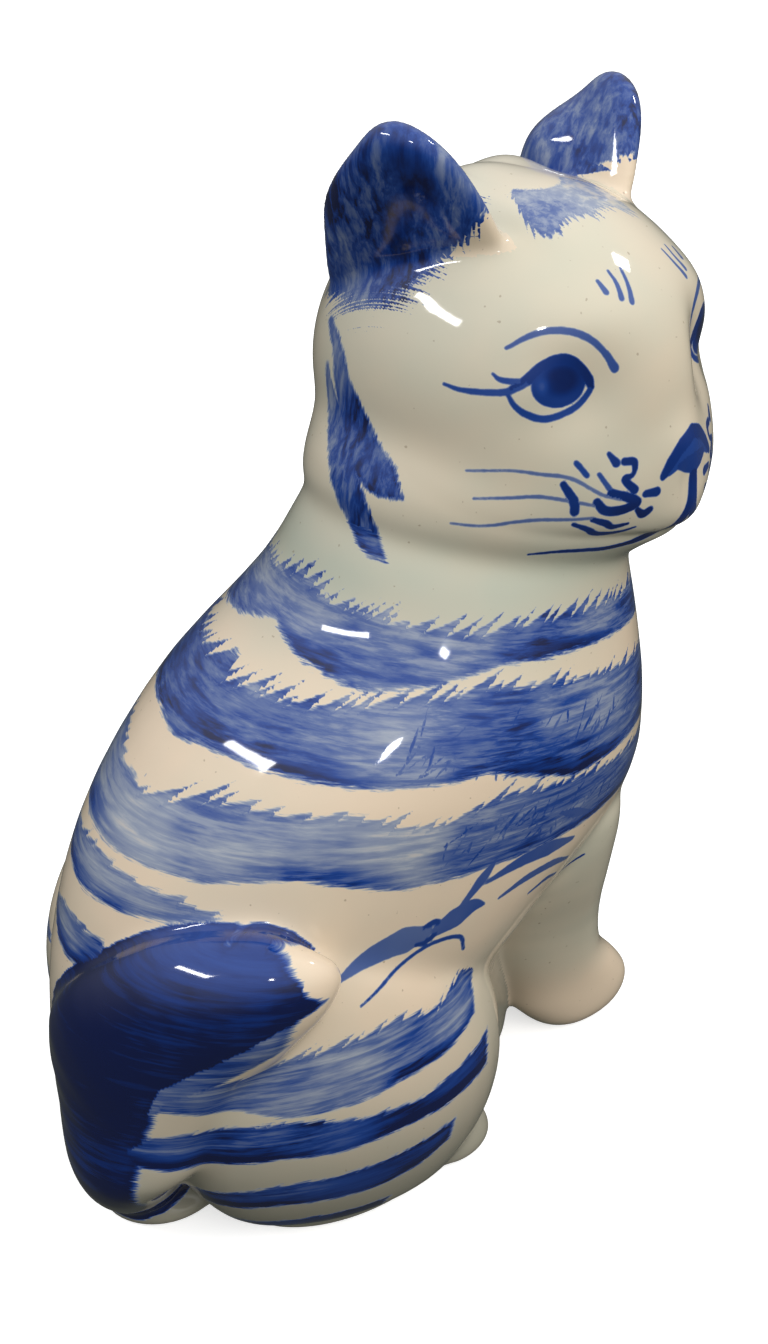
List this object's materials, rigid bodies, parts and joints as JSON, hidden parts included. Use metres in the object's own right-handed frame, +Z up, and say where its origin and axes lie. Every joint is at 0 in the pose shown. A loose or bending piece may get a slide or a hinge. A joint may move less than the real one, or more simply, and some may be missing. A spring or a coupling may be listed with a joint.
{
  "type": "cat figurine",
  "caption": "Seated cat statuette in hollow glazed porcelain, head turned to its right, tail laid along the haunch; a shelf ornament that stands on a flat foot.",
  "frame": {"origin": "on the resting plane, under the middle of the figure's box", "axes": "+Z up; the body faces -Y; the cat's right side is -X; the face is turned 73 degrees from -Y towards -X"},
  "size_m": [0.0922, 0.1458, 0.204],
  "materials": {
    "white_glaze": "clear gloss over hand-painted cobalt stripes",
    "blue_glaze": "clear gloss over dense cobalt",
    "bare_foot": "unglazed, matt"
  },
  "bodies": {
    "root": {"torso_shell": "white_glaze", "head_shell": "white_glaze", "ear_right": "blue_glaze", "ear_left": "blue_glaze", "tail": "blue_glaze", "haunch_right": "white_glaze", "haunch_left": "white_glaze", "foreleg_right": "white_glaze", "foreleg_left": "white_glaze", "hind_paw_right": "white_glaze", "hind_paw_left": "white_glaze", "base_plate": "bare_foot"}
  },
  "joints": []
}
